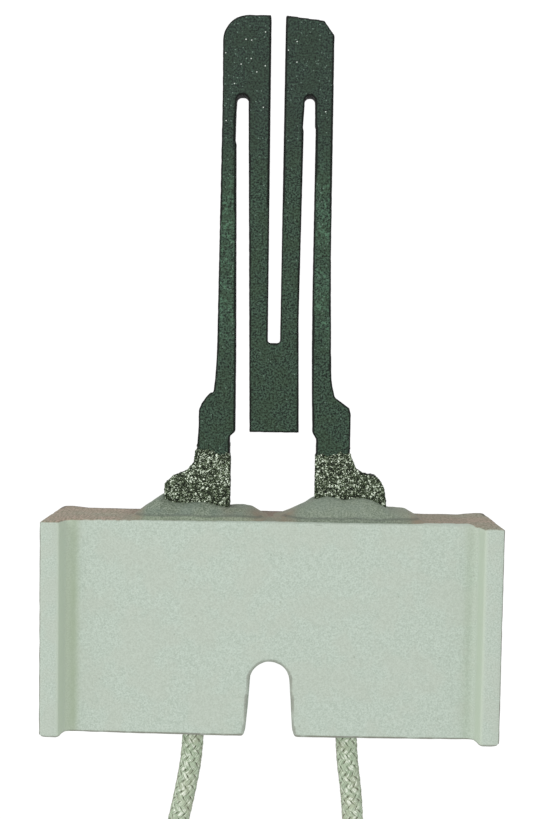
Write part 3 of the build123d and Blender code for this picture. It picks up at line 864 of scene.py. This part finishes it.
def prism(corners, low, high):
    """A closed mesh between two heights over an outline."""
    mesh = bpy.data.meshes.new("prism")
    count = len(corners)
    points = [(c.x, c.y, z) for z in (low, high) for c in corners]
    sides = [(i, (i + 1) % count, (i + 1) % count + count, i + count) for i in range(count)]
    ends = [tuple(range(count))[::-1], tuple(range(count, 2 * count))]
    mesh.from_pydata(points, [], ends + sides)
    mesh.update()
    return mesh


COAT_VOXEL = 0.085
GRAIN_PER_MM = 3.2
GRAIN_HEIGHT = 0.1
GRAIN_TWIST = 0.12
FINE_HEIGHT = 0.03
# The coat's mesh reaches past its CAD top, and beyond the ragged edge it sinks into the strip.
COAT_REACH = 0.8
COAT_SINK = 0.3
SIDE_THINNING = 0.15
# The height of the coat's ragged top at its outer side and at its inner side, and their x there.
COAT_EDGES = {"left": (24.2, 23.55), "right": (23.85, 23.75)}
COAT_INNER_X = 4.4
COAT_OUTER_X = 8.1
RAGGED_WIDE = 0.35
RAGGED_FINE = 0.25
coat_look = sprayed_metal()
for side in SIDES:
    node = f"metal_coat_{side}"
    low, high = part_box(node)
    outline = front_outline(cad_mesh(node))
    for corner in outline:
        if corner.y > high.y - 0.1 * MM:
            corner.y += COAT_REACH * MM
    coat_parts = [prism(outline, low.z, high.z)]
    coat = solid(f"sprayed_coat_{side}", coat_parts, COAT_VOXEL, 1, coat_look)
    points = points_of(coat.data)
    normals = normals_of(coat.data)
    beside = 1 - smooth(np.abs(normals[:, 2]), 0.15, 0.5)
    twisted = points.copy()
    for axis in range(3):
        twisted[:, axis] += GRAIN_TWIST * MM * field(points, 3.0, shift=5.5 * axis)
    lumps = grains(twisted, GRAIN_PER_MM)
    fine = field(points, 6.0)
    outer_edge, inner_edge = COAT_EDGES[side]
    reach = (COAT_INNER_X, COAT_OUTER_X)
    ragged = np.interp(np.abs(points[:, 0]) / MM, reach, (inner_edge, outer_edge))
    ragged += RAGGED_WIDE * field(points, 1.1, shift=2.0) + RAGGED_FINE * field(points, 3.0)
    gone = smooth(points[:, 1] / MM, ragged - 0.15, ragged + 0.1)
    lift = (GRAIN_HEIGHT * (lumps - 0.35) + FINE_HEIGHT * fine) * (1 - 0.7 * beside)
    lift = lift - COAT_SINK * gone
    move_points(coat.data, points + normals * ((lift - SIDE_THINNING * beside) * MM)[:, None])
    # The shader paints shade in the low gaps and glints on the high grains from 'high', and shade
    # on the sides from 'side'.
    write(coat.data, "high", np.clip(lumps * 0.9 + 0.2 * fine + 0.05, 0, 1))
    write(coat.data, "side", beside)
    finish_piece(coat, "sprayed_metal", node)

# ---------------------------------------------------------------- cement
# Each mound's crest: x, then the crest's height above CREST_BASE.
CREST_BASE = 16.7
CRESTS = {
    "left": ((-15.2, 0.0), (-13.9, 0.95), (-11.8, 2.4), (-10.5, 2.0), (-7.5, 1.8), (-4.8, 1.2),
             (-3.2, 1.3), (-2.2, 1.1), (-1.2, 0.5), (-0.5, 0.1)),
    "right": ((0.0, 0.1), (1.8, 0.85), (3.4, 1.6), (4.4, 2.25), (5.8, 2.6), (7.7, 2.25), (9.6, 2.5),
              (10.6, 2.25), (11.8, 1.65), (12.4, 1.3), (14.3, 1.2), (15.5, 0.5), (16.4, 0.0)),
}
# In front of the left foot's outer toe the cement stands lower than behind it.
TOE_DROP = 0.45
TOE_START = (-12.4, -11.4)
TOE_END = (-10.2, -7.0)
TOE_DEPTHS = (5.6, 6.9)
# A mound stands at its full height over the foot, and falls away in front of it and behind it.
FOOT_FRONT = 6.9
FOOT_BACK = 4.3
MOUND_FRONT = 8.75
MOUND_BACK = 2.3
FRONT_WOBBLE = 0.35
FALL_POWER = 1.7
FALL_END = (0.93, 1.0)
# Round the mounds a thin skirt of cement lies on the block's top. It ends behind the panel's front
# edge, more so on the right, and outside it the mesh is sunk in the block.
SKIRT_THICKNESS = 0.08
SKIRT_ENDS = 0.7
SKIRT_SET_BACK = 0.3
SKIRT_SLANT = 0.035
SKIRT_WOBBLE = 0.12
SKIRT_BACK = (2.1, 2.5)
RIDGE_PROUD = 1.8
OUTSIDE_SUNK = 0.15
SUNK = 0.25
MOUND_MARGIN = 0.3
MOUND_STEP = 0.12


def mound(side):
    """A closed mesh of the cement that stands on the block's top round one foot."""
    crest_x, crest_height = np.array(CRESTS[side]).T
    xs = np.arange(crest_x[0] - MOUND_MARGIN, crest_x[-1] + MOUND_MARGIN, MOUND_STEP)
    zs = np.arange(MOUND_BACK - MOUND_MARGIN, MOUND_FRONT + 2 * MOUND_MARGIN, MOUND_STEP)
    x, z = np.meshgrid(xs, zs, indexing="ij")
    crest = np.interp(x, crest_x, crest_height)
    if side == "left":
        toe = smooth(x, *TOE_START) * (1 - smooth(x, *TOE_END))
        crest = crest - TOE_DROP * toe * smooth(z, *TOE_DEPTHS)
    wobble = np.array([[noise.noise(Vector((a * 0.45, 3.3, 0))) for b in zs] for a in xs])
    front = MOUND_FRONT + FRONT_WOBBLE * wobble
    fall_front = np.clip((z - FOOT_FRONT) / (front - FOOT_FRONT), 0, 1)
    fall_back = np.clip((FOOT_BACK - z) / (FOOT_BACK - MOUND_BACK), 0, 1)
    fall = np.maximum(fall_front, fall_back)
    height = crest * (1 - fall ** FALL_POWER) - SUNK * smooth(fall, *FALL_END)
    inside = smooth(x, crest_x[0], crest_x[0] + SKIRT_ENDS)
    inside = inside * (1 - smooth(x, crest_x[-1] - SKIRT_ENDS, crest_x[-1]))
    edge = block_high.z / MM - RIDGE_PROUD - SKIRT_SET_BACK
    edge = edge - SKIRT_SLANT * (x + 10) + SKIRT_WOBBLE * wobble
    skirt = inside * (1 - smooth(z, edge - 0.2, edge)) * smooth(z, *SKIRT_BACK)
    skirt = SKIRT_THICKNESS * skirt
    sunk = OUTSIDE_SUNK * np.maximum(1 - inside, smooth(z, edge - 0.15, edge + 0.05))
    height = np.maximum(CREST_BASE + height, block_high.y / MM + skirt - sunk - 0.02)
    low = block_high.y / MM - SUNK
    top = np.stack([x, np.maximum(height, low + 0.01), z], axis=-1)
    bottom = np.stack([x, np.full_like(x, low), z], axis=-1)
    rows, columns = x.shape
    index = np.arange(rows * columns).reshape(rows, columns)
    under = index + rows * columns
    faces = []
    for grid, turned in ((index, 1), (under, -1)):
        quads = np.stack([grid[:-1, :-1], grid[:-1, 1:], grid[1:, 1:], grid[1:, :-1]], axis=-1)
        faces += quads.reshape(-1, 4)[:, ::turned].tolist()
    rim = np.concatenate([index[0, :], index[1:, -1], index[-1, -2::-1], index[-2:0:-1, 0]])
    for a, b in zip(rim, np.roll(rim, -1)):
        faces.append([int(b), int(a), int(a) + rows * columns, int(b) + rows * columns])
    points = np.concatenate([top.reshape(-1, 3), bottom.reshape(-1, 3)]) * MM
    mesh = bpy.data.meshes.new("mound")
    mesh.from_pydata(points.tolist(), [], faces)
    mesh.update()
    return mesh


def pocket_fill(node):
    """A closed box of the cement inside the block's pocket."""
    points = points_of(cad_mesh(node))
    inside = points[points[:, 1] < block_high.y - 0.1 * MM]
    low, high = inside.min(0), inside.max(0)
    corners = [Vector((x, y, 0)) for x, y in ((low[0], low[1]), (high[0], low[1]))]
    corners += [Vector((x, block_high.y, 0)) for x in (high[0], low[0])]
    return prism(corners, low[2], high[2])


# A wavy line runs along the mounds' front where the skirt meets the thicker cement.
LINE_RISE = 0.3
LINE_WAVE = 0.15
LINE_HALF_WIDTH = 0.1
LINE_BLUR = 0.08
LINE_DEPTHS = (6.5, 7.0)
THIN_CEMENT = (0.6, 1.5)
CEMENT_WAVE = 0.03
CEMENT_RIPPLE = 0.012
CEMENT_VOXEL = 0.13
cement_look = cement()
for side in SIDES:
    node = f"cement_{side}"
    cement_parts = [mound(side), pocket_fill(node)]
    piece = solid(f"cement_mound_{side}", cement_parts, CEMENT_VOXEL, 2, cement_look)
    points = points_of(piece.data)
    x, y, z = points.T / MM
    crest_x, crest_height = np.array(CRESTS[side]).T
    above = y - block_high.y / MM
    line_height = SKIRT_THICKNESS + LINE_RISE + LINE_WAVE * field(points * [1, 0, 0], 0.4)
    skirt = 1 - smooth(above, line_height - LINE_BLUR, line_height + LINE_BLUR)
    seam = np.exp(-(((above - line_height) / LINE_HALF_WIDTH) ** 2)) * smooth(z, *LINE_DEPTHS)
    thin = 1 - smooth(np.interp(x, crest_x, crest_height), *THIN_CEMENT)
    uneven = CEMENT_WAVE * field(points, 0.9) + CEMENT_RIPPLE * field(points, 3.0)
    move_points(piece.data, points + normals_of(piece.data) * (uneven * MM)[:, None])
    write(piece.data, "skirt", skirt)
    write(piece.data, "seam", seam)
    write(piece.data, "thin", thin)
    finish_piece(piece, "cement", node)

# The clips are hidden in the cement, so they keep their CAD meshes.
clip_look = plated_metal("clip_steel", (178, 176, 170), (140, 134, 124), 0.35)
for side in SIDES:
    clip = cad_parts[f"contact_clip_{side}"]
    clip.data.materials.clear()
    clip.data.materials.append(clip_look)

# ---------------------------------------------------------------- plug, pins and tie
PLUG_VOXEL = 0.15
PIN_VOXEL = 0.075
plug = solid("plug_shell", [cad_mesh("plug_housing")], PLUG_VOXEL, 2, nylon())
write(plug.data, "edge", edges_of(plug.data))
finish_piece(plug, "nylon", "plug_housing")

pin_look = plated_metal("plated_brass", (214, 208, 192), (190, 180, 156), 0.22)
# Each pin is rolled from strip, with a seam along its front.
SEAM_HALF_WIDTH = 0.1
SEAM_DEPTH = 0.16
for side in SIDES:
    node = f"terminal_pin_{side}"
    low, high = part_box(node)
    pin = solid(f"pin_{side}", [cad_mesh(node)], PIN_VOXEL, 1, pin_look)
    points = points_of(pin.data)
    off_centre = points - np.array([(low.x + high.x) / 2, 0, (low.z + high.z) / 2])
    groove = np.exp(-((off_centre[:, 0] / (SEAM_HALF_WIDTH * MM)) ** 2)) * (off_centre[:, 2] > 0)
    points[:, 2] -= groove * SEAM_DEPTH * MM * smooth(off_centre[:, 2] / MM, 0.5, 0.8)
    move_points(pin.data, points)
    finish_piece(pin, "plated_brass", node)

# The tie: a band of tape round the strands, and its two ends twisted together on top.
TIE_TAPE_HALF = 1.45 * MM
TIE_TAPE_THIN = 0.1 * MM
TIE_BAND_HEIGHT = 3.75 * MM
TIE_END_POWER = 0.35
TIE_TOP_POWER = 0.6
TAIL_START = -2.5
TAIL_END = 6.5
TAIL_RISE = 0.5
TAIL_TWISTS = 3.5
TAIL_OFFSET = 0.14
TAIL_THIN = 0.08
TAIL_HALF = 0.42
# The tape's section, in half widths across and in thicknesses up: flat wings beside a round wire.
TAPE_SECTION = (
    (-1, 0), (-0.9, 1), (-0.25, 1), (0, 2.6), (0.25, 1), (0.9, 1),
    (1, 0), (0.9, -1), (0.25, -1), (0, -1.6), (-0.25, -1), (-0.9, -1),
)
tie_low, tie_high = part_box("lead_tie")
tie_y = (tie_low.y + tie_high.y) / 2


def tape_ring(centre, out, side, thin, half):
    """One ring of a flat tape with a round wire along its middle."""
    return [centre + side * across * half + out * rise * thin for across, rise in TAPE_SECTION]


def tie_band():
    """The tape round the four strands: a flat loop with round ends."""
    half_height = TIE_BAND_HEIGHT / 2 - 3 * TIE_TAPE_THIN
    middle_z = TIE_BAND_HEIGHT / 2
    reach = (tie_high.x - tie_low.x) / 2 - 3 * TIE_TAPE_THIN
    middle_x = (tie_low.x + tie_high.x) / 2
    path = []
    for turn in np.linspace(0, 2 * np.pi, 120):
        c, s = math.cos(turn), math.sin(turn)
        x = reach * math.copysign(abs(c) ** TIE_END_POWER, c)
        z = half_height * math.copysign(abs(s) ** TIE_TOP_POWER, s)
        path.append((x, z))
    path = np.array(path)
    ahead = np.roll(path, -1, 0) - np.roll(path, 1, 0)
    out = np.stack([ahead[:, 1], -ahead[:, 0]], axis=-1)
    out /= np.maximum(np.linalg.norm(out, axis=1), 1e-9)[:, None]
    side = np.array([0, 1.0, 0])
    rings = []
    for (x, z), (ox, oz) in zip(path, out):
        centre = np.array([middle_x + x, tie_y, middle_z + z])
        rings.append(tape_ring(centre, np.array([ox, 0, oz]), side, TIE_TAPE_THIN, TIE_TAPE_HALF))
    return np.array(rings)


def tie_tail(phase):
    """One of the two ends of the tape, twisted round the other along +X, on top of the band."""
    rings = []
    start, end = mm(TAIL_START, TAIL_END, 0).xy
    height = TIE_BAND_HEIGHT + TAIL_RISE * MM
    for share in np.linspace(0, 1, 60):
        turn = phase + share * TAIL_TWISTS * 2 * math.pi
        out = np.array([0, math.cos(turn), math.sin(turn)])
        side = np.array([0, -math.sin(turn), math.cos(turn)])
        centre = np.array([start + (end - start) * share, tie_y, height]) + out * TAIL_OFFSET * MM
        rings.append(tape_ring(centre, out, side, TAIL_THIN * MM, TAIL_HALF * MM))
    return np.array(rings)


tie = link("twist_tie", lofted([tie_band(), tie_tail(0), tie_tail(math.pi)]), tie_plastic())
finish_piece(tie, "tie_plastic", "lead_tie")
